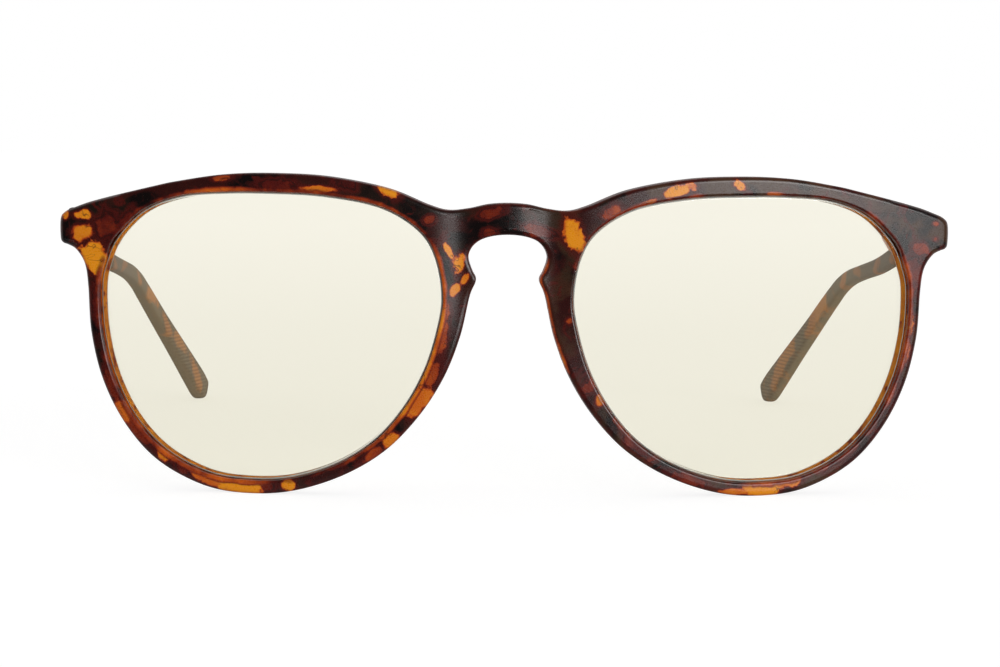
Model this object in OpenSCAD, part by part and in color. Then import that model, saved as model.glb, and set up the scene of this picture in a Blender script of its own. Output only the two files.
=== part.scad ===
// Blue light glasses: a wrapped front with moulded nose pads and two lenses in
// grooves, and two slim temples that fold on five-barrel hinges.
// Axes: +X is the wearer's left, +Y runs back to the ears, +Z is up. The floor
// is z = 0, where the rims and the temple tips rest.

/* [Lenses] */
// Width of each lens opening
lens_w = 53.8; // [44:0.2:65]
// Height of each lens opening
lens_h = 44.8; // [37:0.2:54]
// Thickness of a lens
lens_t = 2.2; // [1.8:0.1:2.6]
// How far the edge of a lens reaches into the groove of its rim
bevel = 0.5; // [0.4:0.05:0.6]

/* [Front] */
// Distance between the two lens openings
bridge_gap = 20; // [16:0.5:24]
// Width of the rim below a lens
rim_w = 2.1; // [1.7:0.1:2.6]
// Thickness of the front
front_t = 4; // [3.3:0.1:4.8]
// Radius of the wrap, about an upright axis behind the bridge
wrap_r = 210; // [175:5:252]
// How far each end piece stands out past its rim
ear_out = 4.4; // [3.6:0.2:5.4]
// Depth of each end piece behind the front's outer corner
ear_depth = 5.6; // [4.6:0.2:6.8]

/* [Nose pads] */
// How far each pad stands behind the front
pad_depth = 5.5; // [4.5:0.5:6.6]
// Height of each pad where it leaves the front
pad_h = 17; // [14:0.5:20]
// Flare of each pad away from the nose
pad_flare = 12; // [8:1:18]

/* [Temples] */
// Length of a temple, from the end piece straight back to its tip
temple_l = 137; // [114:1:165]
// Thickness of a temple at its hinge
temple_root_t = 3.3; // [2.8:0.1:4]
// Thickness of a temple along its arm and tip
temple_t = 2.5; // [2.1:0.1:3]
// How far an open temple bows outwards in the middle
bow = 1.5; // [0.8:0.1:2.4]
// Slope of the tip towards the head, sideways for each step back
tip_slope = 0.28; // [0.2:0.01:0.3]

/* [Hinges] */
// Radius of the knuckles
knuckle_r = 1.3; // [1.2:0.05:1.5]
// Height of one knuckle
knuckle_h = 0.9; // [0.8:0.05:1]
// Radius of the pivot screw
pin_r = 0.5; // [0.4:0.05:0.6]
// Thickness of the hinge leaves
leaf_t = 0.8; // [0.7:0.05:1]

/* [Hidden] */
$fn = 48;

// Running gaps: knuckle to knuckle, pin to bore, temple to end piece, a lens's
// tongue to its groove, and the rest of a lens to its opening.
knuckle_gap = 0.06;
pin_gap = 0.03;
temple_gap = 0.2;
lens_gap = 0.05;
opening_gap = 0.1;

// Lens openings. Each point is a place on the edge, from the middle of a lens
// 53.8 wide and 44.8 high, starting at the temple side and running over the top.
LENS_SHAPE = [
    [26.9, 7.0], [26.2, 10.9], [24.3, 15.1], [19.9, 19.4], [13.9, 21.7], [7.1, 22.35],
    [-0.4, 22.4], [-8.6, 22.0], [-17.1, 20.4], [-23.0, 17.0], [-25.8, 12.7], [-26.9, 6.5],
    [-26.1, 1.0], [-24.2, -5.0], [-21.0, -10.8], [-16.5, -15.9], [-10.5, -19.7], [-3.3, -22.0],
    [3.6, -22.4], [9.9, -21.5], [16.5, -18.2], [21.3, -13.3], [24.7, -6.9], [26.5, 0.1]
];
// Rim width outside each of those points, for a rim 2.1 wide below the lens.
// The first four points lie under the end piece, and the eleventh under the bridge.
RIM_SHAPE = [
    1.9, 0, 0, 0, 2.3, 2.7, 2.9, 2.9, 2.95, 3.5, 0, 4.1,
    3.5, 3.0, 2.5, 2.15, 1.95, 2.0, 2.1, 2.0, 1.95, 1.8, 1.8, 1.8
];
kx = lens_w / 53.8;
kz = lens_h / 44.8;
lens_x = bridge_gap / 2 + lens_w / 2;
lens_z = rim_w + lens_h / 2;
half_w = lens_x + lens_w / 2 + 1.8 * rim_w / 2.1 + ear_out;

// Curves through hand-picked points.
function mix4(a, b, c, d, t) = 0.5 * (2 * b + (c - a) * t
    + (2 * a - 5 * b + 4 * c - d) * t * t + (3 * b - a - 3 * c + d) * t * t * t);
function closed_curve(p, n) = let (m = len(p))
    [for (i = [0 : m - 1], j = [0 : n - 1])
        mix4(p[(i + m - 1) % m], p[i], p[(i + 1) % m], p[(i + 2) % m], j / n)];
function open_curve(p, n) = let (m = len(p) - 1)
    concat([for (i = [0 : m - 1], j = [0 : n - 1])
        mix4(p[max(i - 1, 0)], p[i], p[i + 1], p[min(i + 2, m)], j / n)], [p[m]]);
function turned(v) = [v[1], -v[0]] / norm(v);
function grown(p, d) = let (m = len(p))
    [for (i = [0 : m - 1]) p[i] + d * turned(p[(i + 1) % m] - p[(i + m - 1) % m])];
function reversed(p) = [for (i = [len(p) - 1 : -1 : 0]) p[i]];
function sag(x) = wrap_r - sqrt(wrap_r * wrap_r - x * x);

// The edge of the left opening, and the places just outside it that the front's
// own outline runs through.
LENS_EDGE = [for (p = LENS_SHAPE) [lens_x + kx * p[0], lens_z + kz * p[1]]];
function rim_point(i) = let (m = len(LENS_EDGE),
    ahead = LENS_EDGE[(i + 1) % m] - LENS_EDGE[(i + m - 1) % m])
    LENS_EDGE[i] + RIM_SHAPE[i] * rim_w / 2.1 * turned(ahead);

// End piece, bridge and keyhole, in steps from their own corners.
ear_z = lens_z + 17 * kz;
bridge_z = lens_z + 18.6 * kz;
kb = bridge_gap / 20;
BRIDGE_TOP = [for (p = [[3.1, 2.25], [6.1, 1.6], [9.3, 1.3], [12.4, 2.1]])
    [kb * p[0], bridge_z + p[1]]];
EAR = [for (p = [[-14.9, 6.1], [-6.5, 4.0], [-2.4, 2.6], [-0.7, 1.8], [0, 0.7], [0, -2.2],
    [-0.4, -3.0], [-1.2, -3.3], [-2.4, -3.9], [-3.4, -5.2], [-4.0, -6.9]])
    [half_w + p[0], ear_z + p[1]]];
KEYHOLE = [for (p = [[4.95, -9.5], [5.5, -8.1], [6.05, -6.6], [6.1, -5.5], [5.45, -4.2],
    [4.2, -3.2], [2.3, -2.6], [0, -2.4], [-2.3, -2.6]])
    [kb * p[0], bridge_z + p[1]]];
HALF_OUTLINE = concat(
    [[0, bridge_z + 2.45]], BRIDGE_TOP, [for (i = [8 : -1 : 4]) rim_point(i)],
    EAR, [rim_point(0)], [for (i = [23 : -1 : 11]) rim_point(i)],
    [for (i = [0 : 7]) KEYHOLE[i]]);
OUTLINE = concat(HALF_OUTLINE,
    [for (i = [len(HALF_OUTLINE) - 2 : -1 : 1]) [-HALF_OUTLINE[i][0], HALF_OUTLINE[i][1]]]);

// Hinge: an upright axis in the corner between the end piece and the temple.
ear_y = sag(half_w) + ear_depth;
inner_x = half_w - 0.2 - temple_root_t;
pivot_x = inner_x - 1;
pivot_y = ear_y + knuckle_r + 0.1;
hinge_h = 5 * knuckle_h + 4 * knuckle_gap;
hinge_z = ear_z - hinge_h / 2 - 0.1;
screw_head_r = 0.65;
screw_r = 0.4;
head_h = 0.35;

// Temple: its edges seen from the side, as steps back from the end piece and
// heights for a hinge 41.5 up, then its inner face seen from above.
temple_y = ear_y + temple_gap;
kl = temple_l / 137;
kh = ear_z / 41.5;
TOP_EDGE = [[0, 43.9], [14, 41.2], [27, 38.6], [45, 35.7], [60, 33.5], [75, 31.6], [87, 30.0],
    [95, 28.3], [101, 26.1], [107, 23.1], [113, 19.2], [120, 14.8], [128, 9.8],
    [134.6, 5.6], [136.4, 4.0], [137, 2.2], [136.4, 0.5]];
LOW_EDGE = [[133.5, 0], [131.6, 0.7], [128, 3.5], [120, 9.6], [113, 14.8], [107, 19.1],
    [101, 22.5], [95, 25.1], [87, 27.1], [75, 28.9], [60, 30.7], [45, 32.8], [27, 35.4], [14, 37.2], [0, 38.9]];
SIDE = [for (p = concat(open_curve(TOP_EDGE, 3), [[135.2, 0]], open_curve(LOW_EDGE, 3)))
    [temple_y + kl * p[0], kh * p[1]]];
leaf_l = 12.5;
INNER = concat([[0, 0]], open_curve([for (p = [[14, 0], [32, 0.6 * bow], [60, bow],
    [87, 0.5 * bow], [98, 0], [106, -0.8 * bow], [112, -1.8 * bow]])
    [kl * p[0], p[1]]], 3));
THICK = [for (i = [0 : len(INNER) - 1])
    i == 0 ? temple_root_t : temple_t + (temple_root_t - temple_t) * max(0, 1 - (i - 1) / 4)];
tip_in = INNER[len(INNER) - 1] - [0, tip_slope * kl * 25];
PLAN = concat(
    [for (p = INNER) [inner_x + p[1], temple_y + p[0]]],
    [[inner_x + tip_in[1], temple_y + temple_l + 0.5],
     [inner_x + tip_in[1] + temple_t + 0.2, temple_y + temple_l + 0.5]],
    [for (i = [len(INNER) - 1 : -1 : 0])
        [inner_x + INNER[i][1] + THICK[i], temple_y + INNER[i][0]]]);

// The whole part is centred front to back.
depth = temple_y + temple_l;

module centred() {
    translate([0, -depth / 2, 0]) children();
}

module sides(left) {
    if (left) children();
    else mirror([1, 0, 0]) children();
}

// An upright outline (x, z), carried back from y = from to y = to.
module upright(points, from, to) {
    translate([0, to, 0]) rotate([90, 0, 0]) linear_extrude(to - from) polygon(points);
}

// The space between two depths below the wrapped front surface.
module wrap_shell(from, to) {
    translate([0, wrap_r, -1]) difference() {
        cylinder(r = wrap_r - from, h = lens_h + 20, $fn = 240);
        translate([0, 0, -1]) cylinder(r = wrap_r - to, h = lens_h + 22, $fn = 240);
    }
}

module rod(r, h) {
    cylinder(r = r, h = h, $fn = 32);
}

module lens_edge(extra, from, to) {
    upright(closed_curve(grown(LENS_EDGE, extra), 3), from, to);
}

// Groove and bevel lie at the middle of the front's thickness.
groove_d = front_t / 2;
bevel_t = 1;

// The plate between the faces fills the opening, and its tongue reaches into the groove.
module lens() {
    back = sag(half_w) + front_t + 2;
    intersection() {
        lens_edge(-opening_gap, -1, back);
        wrap_shell(groove_d - lens_t / 2, groove_d + lens_t / 2);
    }
    intersection() {
        lens_edge(bevel, -1, back);
        wrap_shell(groove_d - bevel_t / 2, groove_d + bevel_t / 2);
    }
}

// A pad leans along the nasal edge of the rim and flares away from the nose.
module nose_pad() {
    lean = 17;
    foot_z = lens_z + 1;
    arc_r = (pad_depth * pad_depth + pad_h * pad_h / 4) / (2 * pad_depth);
    intersection() {
        translate([kb * 7.5, front_t - 1, foot_z]) rotate([0, -lean, 0])
            translate([0, 0, -14]) linear_extrude(28)
                polygon([[0, 0], [0, 1], [pad_depth * tan(pad_flare), pad_depth + 1],
                    [pad_depth * tan(pad_flare) + 1.6, pad_depth + 1], [3, 0.6], [3, 0]]);
        translate([0, front_t + pad_depth - arc_r, foot_z]) rotate([0, 90, 0])
            cylinder(r = arc_r, h = bridge_gap, $fn = 64);
    }
}

// Outline of the front leaf's plate and of the temple leaf's plate.
module front_plate(extra) {
    upright([[pivot_x + 1 + extra, hinge_z - extra], [pivot_x + 1 + extra, hinge_z + hinge_h + extra],
        [pivot_x - 3.4 - extra, hinge_z + hinge_h - 0.3 + extra],
        [pivot_x - 3.4 - extra, hinge_z + 1.4 - extra],
        [pivot_x - 1 - extra, hinge_z - extra]], ear_y - leaf_t - extra, ear_y + extra);
}

module temple_plate(extra) {
    plate_y = pivot_y + 1.2;
    translate([inner_x - extra, 0, 0]) rotate([90, 0, 90]) linear_extrude(leaf_t + 2 * extra)
        polygon([[plate_y - extra, hinge_z - 0.2 - extra], [plate_y - extra, hinge_z + 4.3 + extra],
            [temple_y + leaf_l + extra, hinge_z + 2.4 + extra],
            [temple_y + leaf_l + extra, hinge_z - 0.9 - extra]]);
}

// Places of the leaf screws. Front ones run forwards, temple ones run outwards.
module at_front_screws() {
    for (z = [1.75, 3.7]) translate([pivot_x - 2.2, ear_y, hinge_z + z]) rotate([90, 0, 0]) children();
}

module at_temple_screws() {
    for (p = [[5.2, 1.9], [9.9, 1.0]])
        translate([inner_x, temple_y + p[0], hinge_z + p[1]]) rotate([0, 90, 0]) children();
}

front_screw_l = 3;
temple_screw_l = temple_root_t - 0.7;

module leaf_screw(l) {
    difference() {
        union() {
            rod(screw_head_r, head_h);
            rod(screw_r, l);
        }
        translate([0, 0, -0.05]) translate([-1, -0.08, 0]) cube([2, 0.16, 0.2]);
    }
}

module screw_hole(l) {
    translate([0, 0, -0.1]) rod(screw_head_r + 0.03, head_h + 0.1);
    rod(screw_r + 0.02, l + 0.05);
}

module front() color("#3a1208") {
    difference() {
        intersection() {
            upright(closed_curve(OUTLINE, 3), -1, ear_y);
            union() {
                wrap_shell(0, front_t);
                for (s = [0, 1]) mirror([s, 0, 0]) ear_block();
            }
        }
        for (s = [0, 1]) mirror([s, 0, 0]) {
            lens_edge(0, -1, ear_y + 1);
            intersection() {
                lens_edge(bevel + lens_gap, -1, ear_y + 1);
                wrap_shell(groove_d - bevel_t / 2 - lens_gap, groove_d + bevel_t / 2 + lens_gap);
            }
            front_plate(0.02);
            at_front_screws() screw_hole(front_screw_l);
        }
    }
    for (s = [0, 1]) mirror([s, 0, 0]) nose_pad();
}

// The end piece is solid from the wrapped front surface back to the hinge.
module ear_block() {
    intersection() {
        translate([half_w - 9, 0, ear_z - 3.2]) cube([10, ear_y, 12]);
        wrap_shell(0, ear_y);
    }
}

module temple() {
    difference() {
        intersection() {
            translate([0, 0, -1]) linear_extrude(ear_z + 8) polygon(PLAN);
            translate([half_w - 40, 0, 0]) rotate([90, 0, 90]) linear_extrude(50) polygon(SIDE);
        }
        translate([pivot_x, pivot_y, 0]) cylinder(r = knuckle_r + 0.25, h = ear_z + 8);
        temple_plate(0.02);
        temple_necks(0.02);
        at_temple_screws() screw_hole(temple_screw_l);
    }
}

// The two necks that join the temple leaf's knuckles to its plate.
module temple_necks(extra) {
    for (i = [1, 3])
        translate([pivot_x, pivot_y - extra, hinge_z + i * (knuckle_h + knuckle_gap) - extra])
            cube([inner_x + leaf_t + extra - pivot_x, 1.9, knuckle_h + 2 * extra]);
}

// One knuckle of a row of five, counted from the bottom.
module knuckle(i, bore) {
    translate([pivot_x, pivot_y, hinge_z + i * (knuckle_h + knuckle_gap)]) difference() {
        cylinder(r = knuckle_r, h = knuckle_h);
        translate([0, 0, -1]) cylinder(r = bore, h = 3);
    }
}

module front_hinge() {
    difference() {
        front_plate(0);
        at_front_screws() screw_hole(front_screw_l);
    }
    for (i = [0, 2, 4]) {
        knuckle(i, i == 4 ? screw_head_r + 0.03 : pin_r + 0.01);
        translate([pivot_x - 0.85, ear_y - 0.3, hinge_z + i * (knuckle_h + knuckle_gap)])
            difference() {
                cube([1.7, pivot_y - ear_y - pin_r, knuckle_h]);
                translate([0.85, pivot_y - ear_y + 0.3, -1])
                    cylinder(r = screw_head_r + 0.1, h = 3);
            }
    }
}

module temple_hinge() {
    difference() {
        union() {
            temple_plate(0);
            temple_necks(0);
        }
        translate([pivot_x, pivot_y, hinge_z - 1]) cylinder(r = knuckle_r - 0.2, h = hinge_h + 2);
        at_temple_screws() screw_hole(temple_screw_l);
    }
    for (i = [1, 3]) knuckle(i, pin_r + pin_gap);
}

// The screw threads into the lowest knuckle; its head sits in the top one.
module hinge_screw() {
    translate([pivot_x, pivot_y, hinge_z]) {
        cylinder(r = pin_r, h = hinge_h - 0.5);
        difference() {
            translate([0, 0, hinge_h - 0.6]) cylinder(r = screw_head_r, h = 0.65);
            translate([-1, -0.1, hinge_h - 0.2]) cube([2, 0.2, 1]);
        }
    }
}

module lens_left() color("#f3f0dc", 0.35) lens();
module temple_left() color("#4a1a0c") temple();
module front_hinge_left() color("#b9bcc0") front_hinge();
module temple_hinge_left() color("#b9bcc0") temple_hinge();
module hinge_screw_left() color("#d5d7da") hinge_screw();
module front_leaf_screws_left() color("#d5d7da") at_front_screws() leaf_screw(front_screw_l);
module temple_leaf_screws_left() color("#d5d7da") at_temple_screws() leaf_screw(temple_screw_l);

centred() front();
centred() lens_left();
centred() sides(false) lens_left();  // lens_right
centred() temple_left();
centred() sides(false) temple_left();  // temple_right
centred() front_hinge_left();
centred() sides(false) front_hinge_left();  // front_hinge_right
centred() temple_hinge_left();
centred() sides(false) temple_hinge_left();  // temple_hinge_right
centred() hinge_screw_left();
centred() sides(false) hinge_screw_left();  // hinge_screw_right
centred() front_leaf_screws_left();
centred() sides(false) front_leaf_screws_left();  // front_leaf_screws_right
centred() temple_leaf_screws_left();
centred() sides(false) temple_leaf_screws_left();  // temple_leaf_screws_right
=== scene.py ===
"""Looks of a pair of blue light glasses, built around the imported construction.

All shapes are worked out in millimetres from the edge of a lens opening, the
outline of the front and the two edges of a temple, and written in metres.
+X is the wearer's left, +Y runs back to the ears, +Z is up.
"""

import math

import bmesh
import bpy
import numpy as np
from bpy.props import FloatProperty, FloatVectorProperty, PointerProperty
from bpy.types import Operator, Panel, PropertyGroup
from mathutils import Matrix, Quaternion, Vector


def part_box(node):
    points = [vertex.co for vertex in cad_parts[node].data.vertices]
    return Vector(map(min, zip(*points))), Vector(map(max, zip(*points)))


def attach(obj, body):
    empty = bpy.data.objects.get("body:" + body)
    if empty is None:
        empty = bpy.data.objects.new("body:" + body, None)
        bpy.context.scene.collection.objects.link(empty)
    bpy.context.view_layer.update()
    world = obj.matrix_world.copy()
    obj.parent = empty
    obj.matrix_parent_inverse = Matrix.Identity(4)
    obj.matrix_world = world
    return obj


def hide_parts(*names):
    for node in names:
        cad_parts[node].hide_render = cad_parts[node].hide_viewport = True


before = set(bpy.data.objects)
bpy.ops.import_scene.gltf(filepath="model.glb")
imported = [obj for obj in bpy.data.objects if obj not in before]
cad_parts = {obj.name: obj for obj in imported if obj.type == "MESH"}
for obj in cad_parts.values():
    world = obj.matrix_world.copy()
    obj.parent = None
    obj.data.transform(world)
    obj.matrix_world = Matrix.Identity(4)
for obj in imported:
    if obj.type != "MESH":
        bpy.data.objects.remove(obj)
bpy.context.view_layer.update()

bl_info = {
    "name": "Blue Light Glasses",
    "version": (1, 0, 0),
    "blender": (4, 5, 0),
    "location": "View3D > Sidebar > Glasses",
    "description": "Tortoiseshell glasses with clear lenses, moulded pads and folding temples",
    "category": "Mesh",
}

MM = 0.001
SIDES = ("left", "right")

# ------------------------------ sizes in mm

FRONT_LOW, FRONT_HIGH = (np.array(v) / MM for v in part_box("front"))
TEMPLE_LOW, TEMPLE_HIGH = (np.array(v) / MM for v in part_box("temple_left"))
SCREW_LOW, SCREW_HIGH = (np.array(v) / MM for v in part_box("hinge_screw_left"))
FACE_Y = FRONT_LOW[1]
HALF_W = FRONT_HIGH[0]
TEMPLE_Y = TEMPLE_LOW[1]
TEMPLE_L = TEMPLE_HIGH[1] - TEMPLE_Y
# The back of the end pieces, just ahead of the temples.
EAR_Y = TEMPLE_Y - 0.2
PIVOT = ((SCREW_LOW + SCREW_HIGH) / 2)[:2]

LENS_W, LENS_H, RIM_W, GAP = 53.8, 44.8, 2.1, 20.0
FRONT_T, LENS_T, WRAP_R = 4.0, 2.2, 210.0
LENS_X = GAP / 2 + LENS_W / 2
LENS_Z = RIM_W + LENS_H / 2
EAR_Z = LENS_Z + 17
BRIDGE_Z = LENS_Z + 18.6
# A temple: thickness at the hinge and further back, outward bow, and slope of the tip.
ROOT_T, ARM_T, BOW, TIP_SLOPE = 3.3, 2.5, 1.5, 0.28
INNER_X = HALF_W - 0.2 - ROOT_T
# The length that the temple's edges below are drawn at, its stations, the points of a
# section, how square that is (2 is an ellipse) and the room round the hinge's knuckles.
PLAN_L, STATIONS, SECTION_POINTS, SQUARE, KNUCKLE_ROOM = 137, 241, 40, 3.4, 1.6

# The edge of a lens opening from the lens's middle, starting at the temple side
# and running over the top, and the width of the rim outside each point.
LENS_SHAPE = [
    (26.9, 7.0), (26.2, 10.9), (24.3, 15.1), (19.9, 19.4), (13.9, 21.7), (7.1, 22.35),
    (-0.4, 22.4), (-8.6, 22.0), (-17.1, 20.4), (-23.0, 17.0), (-25.8, 12.7), (-26.9, 6.5),
    (-26.1, 1.0), (-24.2, -5.0), (-21.0, -10.8), (-16.5, -15.9), (-10.5, -19.7), (-3.3, -22.0),
    (3.6, -22.4), (9.9, -21.5), (16.5, -18.2), (21.3, -13.3), (24.7, -6.9), (26.5, 0.1)]
RIM_SHAPE = [
    1.9, 0, 0, 0, 2.3, 2.7, 2.9, 2.9, 2.95, 3.5, 0, 4.1,
    3.5, 3.0, 2.5, 2.15, 1.95, 2.0, 2.1, 2.0, 1.95, 1.8, 1.8, 1.8]
BRIDGE_TOP = [(0, 2.45), (3.1, 2.25), (6.1, 1.6), (9.3, 1.3), (12.4, 2.1)]
EAR = [(-14.9, 6.1), (-6.5, 4.0), (-2.4, 2.6), (-0.7, 1.8), (0, 0.7), (0, -2.2),
       (-0.4, -3.0), (-1.2, -3.3), (-2.4, -3.9), (-3.4, -5.2), (-4.0, -6.9)]
KEYHOLE = [(4.95, -9.5), (5.5, -8.1), (6.05, -6.6), (6.1, -5.5), (5.45, -4.2),
           (4.2, -3.2), (2.3, -2.6), (0, -2.4)]

# The temple's edges seen from the side, as steps back from the end piece and heights.
TOP_EDGE = [(0, 43.9), (14, 41.2), (27, 38.6), (45, 35.7), (60, 33.5), (75, 31.6),
            (87, 30.0), (95, 28.3), (101, 26.1), (107, 23.1), (113, 19.2), (120, 14.8),
            (128, 9.8), (134.4, 5.7), (137, 3.4)]
LOW_EDGE = [(0, 38.9), (14, 37.2), (27, 35.4), (45, 32.8), (60, 30.7), (75, 28.9),
            (87, 27.1), (95, 25.1), (101, 22.5), (107, 19.1), (113, 14.8), (120, 9.6),
            (128, 3.5), (132.4, 0.4), (135.4, 0)]
INNER = [(14, 0), (32, 0.6), (60, 1), (87, 0.5), (98, 0), (106, -0.8), (112, -1.8)]

# Warm patches of the front, left and right of the bridge: the middle (x, z), half the
# length, half the width, the turn from level in degrees, and how warm it is, from 1
# for clear amber to 0.3 for a red shade.
PATCHES = [
    (-66.5, 43.0, 1.5, 0.8, 0, 0.9), (-66.8, 39.9, 1.8, 1.4, 20, 0.8),
    (-64.4, 36.2, 3.2, 2.2, -40, 1.0), (-69.2, 43.0, 0.9, 0.6, 80, 0.8),
    (-62.6, 41.6, 2.4, 1.8, 80, 0.35), (-60.4, 40.6, 3.6, 1.0, 60, 0.3),
    (-44.6, 46.7, 1.9, 0.5, 6, 0.9), (-44.4, 49.0, 1.6, 0.5, 6, 0.5),
    (-36.0, 48.0, 3.0, 1.0, 0, 0.3), (-29.2, 47.4, 3.0, 0.6, -2, 0.7),
    (-25.0, 48.4, 2.0, 1.2, -20, 0.3), (-18.7, 48.0, 2.5, 1.3, -40, 1.0),
    (-12.0, 42.9, 1.1, 0.9, 20, 0.4), (-9.2, 38.2, 1.5, 0.4, -60, 0.9),
    (-7.5, 36.2, 1.7, 1.1, 80, 1.0), (-6.5, 34.0, 1.1, 0.6, 60, 0.75),
    (-8.3, 32.0, 1.3, 0.7, 60, 0.85), (-2.9, 44.0, 2.4, 0.9, 15, 0.35),
    (-3.0, 41.0, 1.3, 0.8, 0, 0.35), (5.0, 41.1, 3.0, 1.1, -15, 0.33),
    (10.3, 40.4, 3.1, 1.6, -62, 1.0), (15.8, 44.2, 1.8, 1.4, 20, 0.5),
    (21.5, 45.7, 2.0, 0.5, 22, 0.7), (26.2, 47.6, 2.5, 1.0, 18, 1.0),
    (36.0, 48.4, 1.3, 0.8, -50, 0.95), (41.3, 47.2, 1.2, 0.4, 0, 0.6),
    (65.4, 38.4, 1.6, 1.2, 0, 0.4), (67.9, 42.5, 0.6, 0.5, 0, 0.5),
    (67.9, 40.1, 0.6, 0.5, 0, 0.5), (64.2, 34.6, 3.4, 2.0, 80, 0.3),
    (63.3, 26.4, 2.4, 1.5, 80, 0.85), (61.0, 17.0, 1.6, 1.2, 60, 0.35),
    (-40.8, 1.0, 3.6, 1.3, -4, 1.0), (-34.0, 1.4, 1.1, 1.0, 0, 0.9),
    (-46.8, 2.4, 2.6, 1.2, -22, 0.62), (-50.4, 4.0, 1.9, 1.2, -36, 0.32),
    (-36.9, 1.2, 1.4, 0.9, 0, 0.36), (-53.2, 6.0, 1.5, 1.3, -45, 0.72),
    (-56.9, 8.8, 3.2, 1.6, -50, 0.38), (-60.0, 12.4, 2.2, 1.4, -58, 0.62),
    (-61.8, 16.4, 2.8, 1.6, -66, 0.36), (-63.6, 28.6, 3.2, 1.4, -80, 0.3),
    (-62.2, 21.0, 1.8, 1.0, -70, 0.4), (-20.3, 6.6, 2.6, 1.1, 33, 0.5),
    (-18.0, 8.8, 1.4, 1.2, 45, 0.7), (-13.4, 15.0, 2.8, 1.3, 58, 0.66),
    (-11.6, 19.2, 2.6, 1.5, 65, 0.5), (-10.4, 24.6, 3.2, 1.3, 74, 0.5),
    (-9.8, 29.0, 2.0, 1.2, 80, 0.55), (12.8, 17.6, 2.2, 1.0, 60, 0.4),
    (14.6, 15.4, 1.7, 0.9, 55, 0.75), (20.6, 7.8, 3.2, 1.0, -40, 0.32),
    (28.4, 2.9, 3.4, 1.0, -20, 0.36), (35.6, 0.7, 2.6, 0.6, 0, 0.7),
    (40.2, 1.4, 3.2, 1.5, 4, 0.95), (44.6, 2.1, 2.6, 1.0, 14, 0.72),
    (52.0, 6.0, 3.2, 1.2, 40, 0.32), (63.0, 22.2, 1.8, 1.2, 85, 0.6),
    (9.5, 27.4, 0.8, 0.6, 0, 0.55)]

# How brightly the lens side of the rim glows, at each of the opening's points.
LIP_GLOW = {
    1: (0.6, 0.6, 0.5, 0.4, 0.35, 0.3, 0.3, 0.4, 0.5, 0.5, 0.4, 0.25,
        0.2, 0.2, 0.5, 0.4, 0.3, 0.35, 0.6, 0.5, 0.35, 0.4, 0.55, 0.6),
    -1: (0.5, 0.4, 0.3, 0.4, 0.6, 0.8, 0.45, 0.6, 0.6, 0.5, 0.7, 0.9,
         1.0, 1.0, 0.9, 0.7, 0.4, 0.35, 0.8, 0.7, 0.75, 0.5, 0.4, 0.45)}

# And beside the nose.
NOSE_GLOW = {1: 0.72, -1: 0.2}

# The same along a temple: the middle as a step back and a share of the height above
# its middle line, half the length, half the height and the warmth.
TEMPLE_PATCHES = [
    (6, 0.3, 3.0, 1.2, 0.9), (15, -0.4, 5.0, 1.3, 0.4), (24, 0.4, 3.4, 1.0, 0.8),
    (37, -0.2, 5.0, 1.2, 0.9), (50, 0.5, 3.0, 0.9, 0.4), (58, -0.3, 4.5, 1.0, 0.7),
    (73, 0.3, 4.0, 0.9, 0.35), (92, -0.2, 3.0, 1.0, 0.5), (104, 0.3, 4.0, 1.4, 0.9),
    (113, -0.3, 3.0, 1.2, 0.6), (120, 0.4, 3.4, 1.5, 0.95), (129, -0.2, 3.6, 1.8, 0.8)]


# ------------------------------ curves

def spline(points, params, closed=True):
    """Catmull-Rom curve: each span is the cubic that leaves a point along the line
    between its neighbours. params counts in points."""
    p = np.asarray(points, float)
    t = np.asarray(params, float)
    m = len(p)
    last = m if closed else m - 1
    i = np.clip(np.floor(t).astype(int), 0, last - 1)
    t = (t - i)[:, None]
    if closed:
        a, b, c, d = (p[(i + k) % m] for k in (-1, 0, 1, 2))
    else:
        a, b, c, d = (p[np.clip(i + k, 0, m - 1)] for k in (-1, 0, 1, 2))
    return 0.5 * (2 * b + (c - a) * t + (2 * a - 5 * b + 4 * c - d) * t ** 2
                  + (3 * b - a - 3 * c + d) * t ** 3)


def even(points, first, last, count, closed=True):
    """Params that cut the stretch from first to last into steps of equal length."""
    t = np.linspace(first, last, 400)
    p = spline(points, t, closed)
    run = np.concatenate([[0], np.cumsum(np.linalg.norm(np.diff(p, axis=0), axis=1))])
    return np.interp(np.linspace(0, run[-1], count), run, t)


def outward(points, params, closed=True):
    """Unit normal of the curve on the right of its direction of travel."""
    e = 1e-3
    d = spline(points, params + e, closed) - spline(points, params - e, closed)
    d /= np.linalg.norm(d, axis=1)[:, None]
    return np.stack([d[:, 1], -d[:, 0]], 1)


def smooth(x, low, high):
    """0 below low, 1 above high, and a cubic ease between."""
    t = np.clip((x - low) / (high - low), 0, 1)
    return t * t * (3 - 2 * t)


def rim_points():
    """The lens edge, and the outline's points beside it, out along the edge's normal."""
    edge = np.array(LENS_SHAPE) + (LENS_X, LENS_Z)
    ahead = np.roll(edge, -1, 0) - np.roll(edge, 1, 0)
    ahead /= np.linalg.norm(ahead, axis=1)[:, None]
    normal = np.stack([ahead[:, 1], -ahead[:, 0]], 1)
    return edge, edge + np.array(RIM_SHAPE)[:, None] * normal


LENS_EDGE, RIM = rim_points()
HALF_OUTLINE = np.concatenate([
    np.array(BRIDGE_TOP) + (0, BRIDGE_Z), RIM[8:3:-1], np.array(EAR) + (HALF_W, EAR_Z),
    RIM[:1], RIM[23:10:-1], np.array(KEYHOLE) + (0, BRIDGE_Z)])
OUTLINE = np.concatenate([HALF_OUTLINE, HALF_OUTLINE[-2:0:-1] * (-1, 1)])
# Where the outline passes the rim points 8, 4, 0 and 11, and the middle of the keyhole.
AT_8, AT_4, AT_0, AT_11, AT_END = 5, 9, 21, 34, 42


# ------------------------------ mesh helpers

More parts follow.
